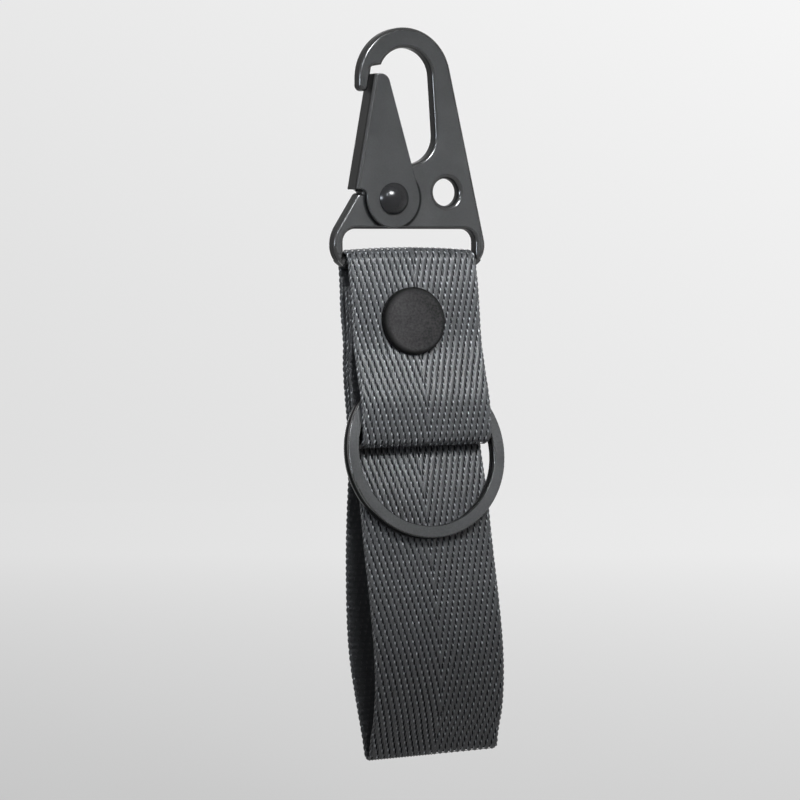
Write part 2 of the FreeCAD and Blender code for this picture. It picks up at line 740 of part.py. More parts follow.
def joint_places():
    """Where the strap's hinges lie and the ring's axis points, in the part's frame."""
    flap = flap_route()
    cut = at_drop(flap[-2], flap[-1], cut_drop)
    top = at_drop(flap[0], flap[1], flap_top_drop)
    hinge = offset_route([top, flap[1]], -half_t)[0]
    places = {"flap": hinge, "ring fold": (cut[0] - half_t, cut[1]), "ring": ring_centre()}
    for name, place in places.items():
        point = Part.Vertex(V(slot_x, place[0], place[1]))
        print(name, [round(v, 3) for v in leaned(point).Point])
    tilt = rad(strap_lean + pocket_lean)
    print("ring axis", [0, round(math.cos(tilt), 5), round(-math.sin(tilt), 5)])


def main():
    os.makedirs("parts", exist_ok=True)
    pieces = {"hook_body": hook_body(), "gate": gate(), "gate_rivet": gate_rivet(),
              "gate_spring": gate_spring()}
    strap = {"strap_loop": strap_loop(), "strap_flap": strap_flap(), "strap_ring_fold": strap_ring_fold(),
             "snap_cap": snap_cap(), "snap_socket": snap_socket(), "snap_spring": snap_spring(),
             "snap_stud": snap_stud(), "snap_post": snap_post(), "key_ring": hung_ring()}
    for name, shape in strap.items():
        pieces[name] = leaned(shape)
    for name, shape in pieces.items():
        box = shape.BoundBox
        print(name, shape.isValid(), len(shape.Solids), round(shape.Volume, 2),
              [round(v, 2) for v in (box.XMin, box.XMax, box.YMin, box.YMax, box.ZMin, box.ZMax)])
        shape.exportStep("parts/" + name + ".step")
    joint_places()


main()
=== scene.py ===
"""Looks for a belt key clip: woven webbing on a painted snap hook, with a snap and a key ring."""
import json
import math

import bmesh
import bpy
import numpy as np
from mathutils import Matrix, Vector


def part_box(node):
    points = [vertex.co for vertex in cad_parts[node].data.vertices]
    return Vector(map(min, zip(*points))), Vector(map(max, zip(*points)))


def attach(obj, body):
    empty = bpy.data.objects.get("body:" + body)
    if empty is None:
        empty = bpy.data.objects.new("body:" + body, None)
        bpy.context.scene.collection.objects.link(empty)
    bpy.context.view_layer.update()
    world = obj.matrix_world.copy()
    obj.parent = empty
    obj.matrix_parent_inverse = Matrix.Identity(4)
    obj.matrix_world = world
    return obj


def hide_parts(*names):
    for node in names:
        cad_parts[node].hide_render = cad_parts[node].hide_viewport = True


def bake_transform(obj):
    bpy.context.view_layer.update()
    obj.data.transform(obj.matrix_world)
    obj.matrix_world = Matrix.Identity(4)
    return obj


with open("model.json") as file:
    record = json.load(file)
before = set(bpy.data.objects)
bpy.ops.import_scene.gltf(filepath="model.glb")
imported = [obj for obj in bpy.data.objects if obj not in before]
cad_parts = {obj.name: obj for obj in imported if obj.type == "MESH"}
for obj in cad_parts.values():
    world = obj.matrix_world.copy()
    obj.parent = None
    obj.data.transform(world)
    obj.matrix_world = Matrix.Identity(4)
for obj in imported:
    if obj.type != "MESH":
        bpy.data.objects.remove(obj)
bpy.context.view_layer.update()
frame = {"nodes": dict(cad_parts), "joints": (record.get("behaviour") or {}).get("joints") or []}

bl_info = {
    "name": "Belt Key Clip",
    "version": (1, 0, 0),
    "blender": (4, 5, 0),
    "location": "View3D > Sidebar > Key Clip",
    "description": "Weaves the strap and finishes the metal of a belt key clip",
    "category": "Object",
}

MM = 0.001

# The strap's route in millimetres, as places back of the bar and heights from it before it leans.
LEAN = math.radians(6.5)
BEND_R = 1.85
FOOT_R = 1.1
POCKET_LEAN = math.radians(6)
BAR_CENTRE = (0, 0)
FOLD_CENTRE = (-2.87, -30.3)
FOOT_CENTRE = (0, -84.95)
BAR_BEND = (math.radians(173), math.radians(-9.6))
FOLD_BEND = (-POCKET_LEAN, -POCKET_LEAN - math.pi)
FOOT_BEND = (math.radians(-14), math.radians(-166))
RETURN_RUN = ((-1.4, -4.2), (-1.4, -9.5), (-1.4, -14.9), (0.25, -18.2), (-0.75, -27.8))
FLAP_RUN = ((-4.45, -27.8), (-3.45, -18.2), (-2.5, -14.9), (-2.5, -5.2), (-2.0, -1.2))
BACK_RUN = ((1.5, -2.2), (1.0, -5.2), (1.0, -14.3), (2.7, -17.8), (1.13, -32.75), (4.44, -46.8),
            (5.8, -59.55), (5.8, -68.0), (3.9, -75.35), (1.6, -82.5))
FRONT_RUN = ((-1.6, -83.0), (-3.98, -78.5), (-5.3, -70.0), (-4.45, -60.0), (-2.8, -49.5), (-2.0, -41.0),
             (0.04, -32.64), (1.58, -17.96), (-0.1, -14.6), (-0.1, -4.2))
BEND_POINTS = 6
ROUTE_STEPS = 16

# Over the bar the webbing's middle stands higher than its edges.
CROWN = 0.5 * MM
CROWN_HALF = 12.5 * MM
CROWN_REACH = 4.5 * MM

# Behind the flap the webbing's edges stand off the rivet.
FLARE = 1.2 * MM
FLARE_DROP = 11 * MM

# Below the snap the flap bulges, at a height from the bar in millimetres.
BULGE = 0.5 * MM
BULGE_HEIGHT = -24.5
BULGE_REACH = 6.0 * MM

# Heights from the bar in millimetres where the webbing is divided into pieces.
FLAP_SPLIT = -10.6
BACK_SPLIT = -72.0
FRONT_SPLIT = -27.0

# The hole for the snap's socket in the riveted end, and no hole, as a place across, along and a radius.
SNAP_HOLE_R = 3.2 * MM
NO_HOLE = (0, 0, 0)

# A warp end passes over three picks and under one: places in picks, with the end's rise and width there.
WEAVE_PICKS = 4
WARP_PICKS = np.array((-1.0, -0.7, -0.45, -0.2, 0.2, 0.45, 0.7, 1.0, 2.0, 3.0))
RISE_SHARES = np.array((1.02, 0.98, 0.82, 0.0, 0.0, 0.82, 0.98, 1.02, 1.05, 1.02))
WIDTH_SHARES = np.array((1.02, 0.9, 0.8, 0.72, 0.72, 0.8, 0.9, 1.02, 1.2, 1.02))
NEAR_PICKS = 0.05

# A painted highlight on the upper end of each float lies this many picks below its dip, with this reach.
SHOULDER_PICKS = 0.7
SHOULDER_REACH = 0.27

# Two thicker yarns wind round each other along each edge, one turn in so many picks.
EDGE_SAMPLES = 5
EDGE_PICKS = 2
EDGE_SWELL = 1.3

# The crossing yarns make ribs on the face and the reverse of the bed.
BED_ROWS_PER_PICK = 4
BED_COLUMNS = 50
FACE_RIB_SHARE = 0.6
REVERSE_RIB_SHARE = 0.55

# Repeats of noise to the metre: across and along the flat webbing for filaments, and in all directions.
WARP_FILAMENTS = (14000.0, 900.0, 1.0)
WEFT_FILAMENTS = (900.0, 9000.0, 1.0)
YARN_CLOUDS = 260.0
GLINT_NOISE_SCALE = 1700.0
PAINT_CLOUDS = 160.0

# Bounds between which noise turns from dark to light, and the heights over which a yarn and the bed's face
# turn between painted shade and their own colour.
CLOUD_RANGE = (0.35, 0.65)
GLINT_RANGE = (0.3, 0.7)
DIP_RANGE = (-0.4, 0.5)
REVERSE_RANGE = (0.0, -0.4)

# Shares of the yarns' colour in the darkest and lightest filaments, which also carry painted shade low on
# each yarn, and in the painted highlights on the floats.
YARN_DARK = 0.45
YARN_LIGHT = 1.5
WEFT_DARK = 0.3
WEFT_LIGHT = 0.8
PAINTED_GLINT_SHARE = 12.0

# Depths below a plate's face where the plain face ends, the painted shade of the edge begins and its gloss
# fades out.
FACE_DROP = 0.002 * MM
EDGE_DROP = 0.03 * MM
GLOSS_DROP = 0.35 * MM
WALL_DROP = 0.6 * MM

# Share of a plate's colour that is left on its edges and walls as painted shade, and the gloss on its
# edges.
EDGE_SHADE = 0.15
EDGE_GLOSS = 0.9

# Painted shade on the rim of the snap's cap, from inside its edge, and a painted shadow round the gate's
# lobe, shifted a little to the right.
RIM_SHADE = 0.12
CAP_RIM_DEPTH = 1.4 * MM
CAP_RIM_INNER = 0.9 * MM
CAP_RIM_OUTER = 0.1 * MM
LOBE_SHADOW_SHIFT = Vector((0.2, 0, 0)) * MM
LOBE_SHADOW_OUTER = 0.65 * MM
LOBE_SHADOW_INNER = 0.4 * MM

# The way the hook's plate faces, and half the thickness of the plate and of the ring.
FACING = Vector((0, 1, 0))
PLATE_HALF = 1.3 * MM
RING_HALF = 1.1 * MM

# The paper's floor and wall in metres, and how the painted light that it glows with rises to the back, to
# the right and upwards.
FLOOR_HALF = 1.6
WALL_HEIGHT = 1.8
COVE_R = 0.6
COVE_SEGMENTS = 16
PAPER_TURN = math.radians(25.5)
PAPER_TONE = 0.495
BACK_TONE = 0.26
BACK_RANGE = (0.03, 0.6)
SIDE_TONE = 0.295
SIDE_RANGE = (-0.32, 0.5)
SIDE_DEPTH = 0.5
HEIGHT_TONE = 0.1
HEIGHT_RANGE = (-0.165, 0.235)
PAPER_GREY = (0.62, 0.62, 0.62, 1)
PAPER_GLOW_SHARE = 0.9
SKY_TONE = 0.55

# Each light's name, place, height it points at, size, power, beam in degrees and colour.
LIGHTS = (
    ("light_top", (-0.035, -0.274, 0.135), -0.036, (0.12, 0.06), 0.0435, 26, (0.95, 0.975, 1.0)),
    ("light_glint", (-0.27, -0.42, 0.17), -0.026, (0.05, 0.05), 0.008, 30, (0.86, 0.93, 1.0)),
    ("light_left", (-0.47, -0.22, 0.02), -0.005, (0.07, 0.14), 0.018, 24, (0.82, 0.9, 1.0)),
    ("light_front", (0.75, -0.8, 0.1), -0.06, (1.4, 1.4), 0.25, 180, (1.0, 1.0, 1.0)),
    ("light_back", (0.3, 0.75, -0.02), -0.06, (0.5, 0.5), 0.5, 70, (1.0, 1.0, 1.0)),
)

# Where the camera points, its sensor's width in millimetres and the nearest distance that it sees.
CAMERA_TARGET = Vector((-0.609, 0, -61.725)) * MM
SENSOR_WIDTH = 36
CLIP_START = 0.01


def joint_place(name):
    """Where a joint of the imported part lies."""
    return Vector(next(joint["pos_m"] for joint in frame["joints"] if joint["name"] == name))


def joint_axis(name):
    """The way a joint's axis points."""
    return Vector(next(joint["axis"] for joint in frame["joints"] if joint["name"] == name))


def node_middle(node):
    """The middle of a node's box."""
    low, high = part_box(node)
    return (low + high) / 2


def node_half(node):
    """Half the size of a node's box."""
    low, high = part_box(node)
    return (high - low) / 2


# Settings that a user would change
class KeyClipWebbing(bpy.types.PropertyGroup):
    """Sizes and colours of the webbing"""
    width: bpy.props.FloatProperty(
        name="Width", description="Width of the webbing", default=0.025, unit="LENGTH")
    warp_ends: bpy.props.IntProperty(
        name="Warp ends", description="Yarns that run along the strap", default=85)
    pick: bpy.props.FloatProperty(
        name="Pick", description="Distance from one crossing yarn to the next", default=0.00106,
        unit="LENGTH")
    yarn_radius: bpy.props.FloatProperty(
        name="Yarn radius", description="Half the width of a warp yarn on a float", default=0.000136,
        unit="LENGTH")
    flatness: bpy.props.FloatProperty(
        name="Flatness", description="A yarn's height as a share of its width", default=0.55)
    float_height: bpy.props.FloatProperty(
        name="Float height", description="Height of a warp yarn over the picks", default=0.00033,
        unit="LENGTH")
    dip_depth: bpy.props.FloatProperty(
        name="Dip depth", description="Depth of a warp yarn under a pick", default=0.00034,
        unit="LENGTH")
    bed_top: bpy.props.FloatProperty(
        name="Bed top", description="Height of the crossing yarns on the face", default=0.00002,
        unit="LENGTH")
    bed_bottom: bpy.props.FloatProperty(
        name="Bed bottom", description="Depth of the crossing yarns on the reverse", default=0.00032,
        unit="LENGTH")
    edge_radius: bpy.props.FloatProperty(
        name="Edge radius", description="Radius that the edge yarns twist at", default=0.00015,
        unit="LENGTH")
    yarn_colour: bpy.props.FloatVectorProperty(
        name="Yarn colour", description="Colour of the warp yarns", default=(0.07, 0.072, 0.075),
        subtype="COLOR", size=3)
    # Painted shade for the dips of the warp yarns and the face of the crossing yarns, which show in the
    # gaps.
    gap_shade: bpy.props.FloatVectorProperty(
        name="Gap colour", description="Colour of the crossing yarns", default=(0.012, 0.012, 0.014),
        subtype="COLOR", size=3)


class KeyClipMetal(bpy.types.PropertyGroup):
    """Colours of the metal pieces"""
    paint_colour: bpy.props.FloatVectorProperty(
        name="Paint", description="Colour of the hook's paint", default=(0.07, 0.07, 0.07),
        subtype="COLOR", size=3)
    gate_colour: bpy.props.FloatVectorProperty(
        name="Gate", description="Colour of the gate's paint", default=(0.063, 0.063, 0.063),
        subtype="COLOR", size=3)
    rivet_colour: bpy.props.FloatVectorProperty(
        name="Rivet", description="Colour of the rivet", default=(0.012, 0.012, 0.013),
        subtype="COLOR", size=3)
    cap_colour: bpy.props.FloatVectorProperty(
        name="Snap", description="Colour of the snap's cap", default=(0.033, 0.0315, 0.0315),
        subtype="COLOR", size=3)
    ring_colour: bpy.props.FloatVectorProperty(
        name="Ring", description="Colour of the key ring", default=(0.122, 0.122, 0.122),
        subtype="COLOR", size=3)
    spring_colour: bpy.props.FloatVectorProperty(
        name="Springs", description="Colour of the spring wire", default=(0.45, 0.45, 0.46),
        subtype="COLOR", size=3)


class KeyClipStage(bpy.types.PropertyGroup):
    """The floor, the even light and the camera"""
    floor_drop: bpy.props.FloatProperty(
        name="Floor", description="Height of the floor under the hanging clip", default=-0.165,
        unit="LENGTH")
    ambient: bpy.props.FloatProperty(
        name="Ambient", description="Strength of the even light from all round", default=0.05)
    camera_distance: bpy.props.FloatProperty(
        name="Distance", description="Camera's distance from its target", default=0.44494, unit="LENGTH")
    camera_yaw: bpy.props.FloatProperty(
        name="Yaw", description="Camera's angle to the left of the front", default=math.radians(25.5),
        unit="ROTATION")
    camera_lift: bpy.props.FloatProperty(
        name="Lift", description="Camera's angle above the target", default=math.radians(3.7),
        unit="ROTATION")
    camera_lens: bpy.props.FloatProperty(
        name="Lens", description="Camera's focal length in millimetres", default=113.4)


# Shader expressions
class Signal:
    """A shader socket that works in Python sums: an expression on values adds its Math nodes."""

    def __init__(self, tree, socket=None):
        self.tree = tree
        self.socket = socket

    def node(self, kind, inputs=(), output=0, **settings):
        """Adds a node with its settings, then the values or links of its sockets, and gives one output."""
        made = self.tree.nodes.new(kind)
        for name, value in settings.items():
            setattr(made, name, value)
        for name, value in dict(inputs).items():
            if isinstance(value, Signal):
                self.tree.links.new(value.socket, made.inputs[name])
            else:
                made.inputs[name].default_value = value
        return Signal(self.tree, made.outputs[output] if made.outputs else None)

    def math(self, operation, *terms):
        """Adds a Math node."""
        return self.node("ShaderNodeMath", enumerate(terms), operation=operation)

    def __add__(self, other):
        return self.math("ADD", self, other)

    def __sub__(self, other):
        return self.math("SUBTRACT", self, other)

    def __rsub__(self, other):
        return self.math("SUBTRACT", other, self)

    def __mul__(self, other):
        return self.math("MULTIPLY", self, other)

    def __truediv__(self, other):
        return self.math("DIVIDE", self, other)

    def __rtruediv__(self, other):
        return self.math("DIVIDE", other, self)

    def __abs__(self):
        return self.math("ABSOLUTE", self)

    __radd__ = __add__
    __rmul__ = __mul__

    def to(self, shader, name):
        """Feeds one of a shader's sockets."""
        self.tree.links.new(self.socket, shader.inputs[name])


def new_material(name, **constants):
    """A material with its shader's constant sockets set, and a signal to add nodes with."""
    made = bpy.data.materials.new(name)
    made.use_nodes = True
    shader = made.node_tree.nodes["Principled BSDF"]
    for socket, value in constants.items():
        shader.inputs[socket.replace("_", " ")].default_value = value
    return made, shader, Signal(made.node_tree)


def shaded(colour, share):
    """A colour made darker or lighter."""
    return tuple(share * part for part in colour)


def mixed(share, first, second):
    """A colour between two others."""
    colours = [c if isinstance(c, Signal) else (*c, 1) for c in (first, second)]
    return share.node("ShaderNodeMix", {0: share, 6: colours[0], 7: colours[1]}, output=2, data_type="RGBA")


def noise(place, scale, detail=2.0):
    """Noise at a place, as a value about one half."""
    return place.node("ShaderNodeTexNoise", {"Vector": place, "Scale": scale, "Detail": detail})


def between(value, low, high):
    """Rises from 0 to 1 as a value goes from one bound to the other."""
    return value.node("ShaderNodeMapRange", {"Value": value, "From Min": low, "From Max": high})


def greatest(first, second):
    """The greater of two values."""
    return first.math("MAXIMUM", first, second)


def object_place(signal):
    """The place on a piece, by its Object coordinates."""
    return signal.node("ShaderNodeTexCoord", output="Object")


def attribute(signal, name):
    """An attribute of a piece's points."""
    return signal.node("ShaderNodeAttribute", output="Fac", attribute_name=name)


def bumped(shader, height, strength, depth):
    """Gives a shader a fine relief."""
    bump = height.node("ShaderNodeBump", {"Strength": strength, "Distance": depth, "Height": height})
    bump.to(shader, "Normal")


# Finishes
def plate_masks(place, plate):
    """One on a plate's flat faces, and one on its walls, by the distance from the plate's middle plane."""
    middle, normal, half = plate
    away = place.node("ShaderNodeVectorMath", {0: place, 1: middle}, operation="SUBTRACT")
    depth = abs(away.node("ShaderNodeVectorMath", {0: away, 1: normal}, output=1, operation="DOT_PRODUCT"))
    face = between(depth, half - EDGE_DROP, half - FACE_DROP)
    wall = between(depth, half - GLOSS_DROP, half - WALL_DROP)
    return face, wall


def painted(name, colour, rough, grain, grain_depth, specular=0.5, metallic=0.0, mottle=0.15,
            plate=None, rim=None):
    """Paint with a fine grain and uneven tone and gloss: painted shade on a plate's edges and walls, gloss
    on its edges, and a ring of painted shade.
    """
    made, shader, signal = new_material(name, Metallic=metallic, Specular_IOR_Level=specular,
                                        Coat_Roughness=0.16, Coat_IOR=1.8)
    place = object_place(signal)
    fine = noise(place, grain, detail=3.0)
    tone = between(0.5 * noise(place, PAINT_CLOUDS) + 0.5 * fine, *CLOUD_RANGE)
    colour_with_shade = mixed(tone, shaded(colour, 1 - mottle), shaded(colour, 1 + mottle))
    if plate:
        face, wall = plate_masks(place, plate)
        # Painted shade on the plate's edges and walls, off its flat faces.
        colour_with_shade = mixed(face, shaded(colour, EDGE_SHADE), colour_with_shade)
        (EDGE_GLOSS - EDGE_GLOSS * greatest(face, wall)).to(shader, "Coat Weight")
    # A ring of painted shade: the snap cap's rim, or a shadow round the gate's lobe.
    if rim:
        middle, light, dark = rim
        away = place.node("ShaderNodeVectorMath", {0: place, 1: middle}, output=1, operation="DISTANCE")
        colour_with_shade = mixed(between(away, light, dark), colour_with_shade, shaded(colour, RIM_SHADE))
    colour_with_shade.to(shader, "Base Color")
    (rough + 0.5 * mottle * (tone - 0.5)).to(shader, "Roughness")
    bumped(shader, fine, strength=0.6, depth=grain_depth)
    return made


def filament_stripes(signal, repeats):
    """Noise drawn out along the filaments of a yarn, on the map of the flat webbing."""
    flat = signal.node("ShaderNodeUVMap", uv_map="weave")
    stretched = flat.node("ShaderNodeVectorMath", {0: flat, 1: repeats}, operation="MULTIPLY")
    return noise(stretched, 1.0)


def yarn_finish(settings):
    """Shiny filament yarn: fine stripes along it, painted shade where it dips and painted highlights on its
    shoulders.
    """
    made, shader, signal = new_material("yarn_grey", Specular_IOR_Level=0.6, Coat_Weight=0.3,
                                        Coat_Roughness=0.2)
    colour = settings.yarn_colour
    place = object_place(signal)
    filaments = filament_stripes(signal, WARP_FILAMENTS)
    # Painted shade: black in the dips, and darker low on each yarn.
    shade = between(attribute(signal, "lift"), *DIP_RANGE)
    tone = 0.35 * filaments + 0.3 * noise(place, YARN_CLOUDS) + 0.35 * shade
    grey = mixed(tone, shaded(colour, YARN_DARK), shaded(colour, YARN_LIGHT))
    woven_with_gap_shade = mixed(shade, settings.gap_shade, grey)
    # Painted highlights on the upper ends of the floats, broken up by noise.
    painted_glints = attribute(signal, "glint_shoulder") * between(noise(place, GLINT_NOISE_SCALE), *GLINT_RANGE)
    mixed(painted_glints, woven_with_gap_shade, shaded(colour, PAINTED_GLINT_SHARE)).to(shader, "Base Color")
    (0.2 + 0.2 * filaments).to(shader, "Roughness")
    bumped(shader, filaments, strength=0.3, depth=0.01 * MM)
    return made


def bed_finish(settings):
    """The crossing yarns: painted shade on the face, which shows in the gaps, and grey on the reverse."""
    made, shader, signal = new_material("weft_grey", Specular_IOR_Level=0.4)
    filaments = filament_stripes(signal, WEFT_FILAMENTS)
    colour = settings.yarn_colour
    reverse = between(attribute(signal, "lift"), *REVERSE_RANGE)
    grey = mixed(filaments, shaded(colour, WEFT_DARK), shaded(colour, WEFT_LIGHT))
    mixed(reverse, settings.gap_shade, grey).to(shader, "Base Color")
    (0.45 + 0.2 * filaments).to(shader, "Roughness")
    bumped(shader, filaments, strength=0.4, depth=0.05 * MM)
    return made


def webbing_finishes(settings):
    """The finishes of the bed and of the yarns, made once for all the stretches."""
    bed = bpy.data.materials.get("weft_grey") or bed_finish(settings)
    yarns = bpy.data.materials.get("yarn_grey") or yarn_finish(settings)
    return bed, yarns


# The strap's middle line
def bend_points(centre, radius, turn):
    """Control points that keep a NURBS line on a circle: the corners of the polygon round it."""
    step = (turn[1] - turn[0]) / BEND_POINTS
    reach = radius / math.cos(step / 2)
    angles = [turn[0] + step * (i + 0.5) for i in range(BEND_POINTS)]
    return [(centre[0] + reach * math.cos(a), centre[1] + reach * math.sin(a)) for a in angles]


def mesh_of(curve):
    """A curve's mesh, in place of the curve."""
    holder = bpy.data.objects.new(curve.name, curve)
    mesh = bpy.data.meshes.new_from_object(holder)
    bpy.data.objects.remove(holder)
    bpy.data.curves.remove(curve)
    return mesh


def vertex_places(mesh):
    """A mesh's vertices, one to a row."""
    places = np.empty(len(mesh.vertices) * 3)
    mesh.vertices.foreach_get("co", places)
    return places.reshape(-1, 3)


def strap_route():
    """Points of the strap's middle line before it leans, as places back of the bar and heights from it."""
    route = [*RETURN_RUN, *bend_points(FOLD_CENTRE, BEND_R, FOLD_BEND), *FLAP_RUN,
             *bend_points(BAR_CENTRE, BEND_R, BAR_BEND), *BACK_RUN,
             *bend_points(FOOT_CENTRE, FOOT_R, FOOT_BEND), *FRONT_RUN]
    curve = bpy.data.curves.new("strap_line", "CURVE")
    curve.dimensions = "3D"
    curve.resolution_u = ROUTE_STEPS
    spline = curve.splines.new("NURBS")
    spline.points.add(len(route) - 1)
    for point, (place, height) in zip(spline.points, route):
        point.co = (0, place * MM, height * MM, 1)
    spline.order_u = 3
    spline.use_endpoint_u = True
    mesh = mesh_of(curve)
    points = vertex_places(mesh)[:, 1:]
    bpy.data.meshes.remove(mesh)
    return points


def nearness(along, place, reach):
    """One at a place along the strap, falling smoothly to zero at a reach from it."""
    share = np.clip(1 - np.abs(along - place) / reach, 0, 1)
    return share * share * (3 - 2 * share)


class StrapLine:
    """The strap's middle line from its end behind the flap, round the ring, the bar and the loop."""

    def __init__(self):
        self.local = strap_route()
        runs = np.linalg.norm(np.diff(self.local, axis=0), axis=1)
        self.along = np.concatenate([[0], np.cumsum(runs)])
        self.length = self.along[-1]
        bar = joint_place("strap_swing")
        cos, sin = math.cos(LEAN), math.sin(LEAN)
        turn = np.array([[cos, -sin], [sin, cos]])
        self.points = self.local @ turn + np.array([bar.y, bar.z])
        ways = np.gradient(self.points, self.along, axis=0)
        ways /= np.linalg.norm(ways, axis=1)[:, None]
        self.normals = np.stack([-ways[:, 1], ways[:, 0]], axis=1)
        self.middle = bar.x
        self.top = self.along[np.argmax(self.local[:, 1])]
        self.bulge = self.crossing(BULGE_HEIGHT, 1)

    def crossing(self, height, nth):
        """How far along the line passes a height, counting its passes from 0."""
        above = self.local[:, 1] > height * MM
        found = np.flatnonzero(above[1:] != above[:-1])[nth]
        return self.along[found]

    def rising(self, along):
        """One where the strap runs upwards at a place along it, and minus one where it runs down."""
        return np.sign(np.interp(along, self.along, np.gradient(self.points[:, 1], self.along)))

    def laid(self, flat):
        """Flat places (across, along, up) laid on the strap."""
        across, along, up = flat.T
        bow = np.square(across / CROWN_HALF)
        up = up + CROWN * (1 - bow) * nearness(along, self.top, CROWN_REACH)
        up = up + FLARE * bow * nearness(along, self.top + FLARE_DROP, FLARE_DROP)
        up = up + BULGE * nearness(along, self.bulge, BULGE_REACH)
        places = [np.interp(along, self.along, self.points[:, i]) for i in (0, 1)]
        normals = [np.interp(along, self.along, self.normals[:, i]) for i in (0, 1)]
        size = np.hypot(*normals)
        return np.stack([across + self.middle, places[0] + up * normals[0] / size,
                         places[1] + up * normals[1] / size], axis=1)


# Webbing, woven flat and laid on the strap's line
def lay_on_strap(mesh, line, thickness):
    """Keeps the flat place of a mesh in its UV map and height attribute, then bends it along the strap."""
    flat = vertex_places(mesh)
    lift = mesh.attributes.new("lift", "FLOAT", "POINT")
    lift.data.foreach_set("value", (flat[:, 2] / thickness).astype(np.float32))
    corners = np.empty(len(mesh.loops), np.int32)
    mesh.loops.foreach_get("vertex_index", corners)
    weave = mesh.uv_layers.new(name="weave")
    weave.data.foreach_set("uv", flat[corners, :2].astype(np.float32).ravel())
    mesh.vertices.foreach_set("co", line.laid(flat).astype(np.float32).ravel())
    sides = np.empty(len(mesh.polygons), np.int32)
    mesh.polygons.foreach_get("loop_total", sides)
    mesh.polygons.foreach_set("use_smooth", sides == 4)
    mesh.update()


def warp_shift(end, ends):
    """How many picks an end's dips are shifted: one more for each end, mirrored at the middle."""
    return np.minimum(end, ends - 1 - end)


def warp_half(settings):
    """How far the outermost warp ends lie from the webbing's middle."""
    return settings.width / 2 - 2 * settings.edge_radius - 2 * settings.yarn_radius


def warp_places(first, last, shift):
    """Places along a warp end, in picks: its two ends and the bends of its dips between them."""
    dips = np.arange(first + shift - WEAVE_PICKS, last + shift + WEAVE_PICKS) // WEAVE_PICKS
    bends = (np.unique(dips)[:, None] * WEAVE_PICKS - shift + WARP_PICKS[:-1]).ravel()
    inside = bends[(bends > first + NEAR_PICKS) & (bends < last - NEAR_PICKS)]
    return np.concatenate([[first], inside, [last]])


def warp_shape(picks, settings):
    """Heights and widths of a warp end at places counted in picks from a dip."""
    phase = (picks - WARP_PICKS[0]) % WEAVE_PICKS + WARP_PICKS[0]
    rise = np.interp(phase, WARP_PICKS, RISE_SHARES)
    height = rise * (settings.float_height + settings.dip_depth) - settings.dip_depth
    return height, np.interp(phase, WARP_PICKS, WIDTH_SHARES)


def add_yarn(curve, places, swells):
    """Adds one yarn along its places."""
    spline = curve.splines.new("POLY")
    spline.points.add(len(places) - 1)
    spline.points.foreach_set("co", np.column_stack([places, np.ones(len(places))]).ravel())
    spline.points.foreach_set("radius", swells)


def add_warp(curve, start, end, settings, hole):
    """Adds the warp ends of a stretch, broken where they meet the snap's hole."""
    for i in range(settings.warp_ends):
        across = warp_half(settings) * (2 * i / (settings.warp_ends - 1) - 1)
        shift = warp_shift(i, settings.warp_ends)
        picks = warp_places(start / settings.pick, end / settings.pick, shift)
        height, swells = warp_shape(picks + shift, settings)
        along = picks * settings.pick
        places = np.column_stack([np.full_like(along, across), along, height / settings.flatness])
        kept = np.hypot(across - hole[0], along - hole[1]) > hole[2]
        breaks = np.flatnonzero(np.diff(kept.astype(int))) + 1
        for run in np.split(np.arange(len(along)), breaks):
            if kept[run[0]] and len(run) > 1:
                add_yarn(curve, places[run], swells[run])


def add_edges(curve, start, end, settings):
    """Adds the two yarns that wind round each other along each edge."""
    turns = (end - start) / settings.pick
    steps = np.linspace(0, turns, round(turns * EDGE_SAMPLES) + 1)
    middle = settings.width / 2 - settings.edge_radius - EDGE_SWELL * settings.yarn_radius
    for side, phase in ((-1, 0), (-1, 0.5), (1, 0), (1, 0.5)):
        angle = 2 * np.pi * (phase + (steps + start / settings.pick) / EDGE_PICKS)
        places = np.column_stack([side * (middle + settings.edge_radius * np.cos(angle)),
                                  start + steps * settings.pick,
                                  settings.edge_radius * np.sin(angle) / settings.flatness])
        add_yarn(curve, places, np.full(len(steps), EDGE_SWELL))


def mark_glints(mesh, line, settings):
    """Marks the upper end of each float for a painted highlight, where the yarn turns to the light."""
    across, along, _ = vertex_places(mesh).T
    ends = np.rint((across / warp_half(settings) + 1) / 2 * (settings.warp_ends - 1))
    picks = along / settings.pick + warp_shift(ends, settings.warp_ends)
    away = (picks + WEAVE_PICKS / 2) % WEAVE_PICKS - WEAVE_PICKS / 2
    below = -away * line.rising(along)
    share = np.clip(1 - np.abs(below - SHOULDER_PICKS) / SHOULDER_REACH, 0, 1)
    glint_shoulder = mesh.attributes.new("glint_shoulder", "FLOAT", "POINT")
    glint_shoulder.data.foreach_set("value", share.astype(np.float32))


def yarn_mesh(name, start, end, line, settings, hole):
    """Warp yarns and the wound edges of a stretch of webbing, flat."""
    curve = bpy.data.curves.new(name, "CURVE")
    curve.dimensions = "3D"
    curve.bevel_depth = settings.yarn_radius
    curve.bevel_resolution = 1
    curve.use_fill_caps = True
    add_warp(curve, start, end, settings, hole)
    add_edges(curve, start, end, settings)
    mesh = mesh_of(curve)
    mesh.transform(Matrix.Diagonal((1, 1, settings.flatness, 1)))
    mark_glints(mesh, line, settings)
    return mesh


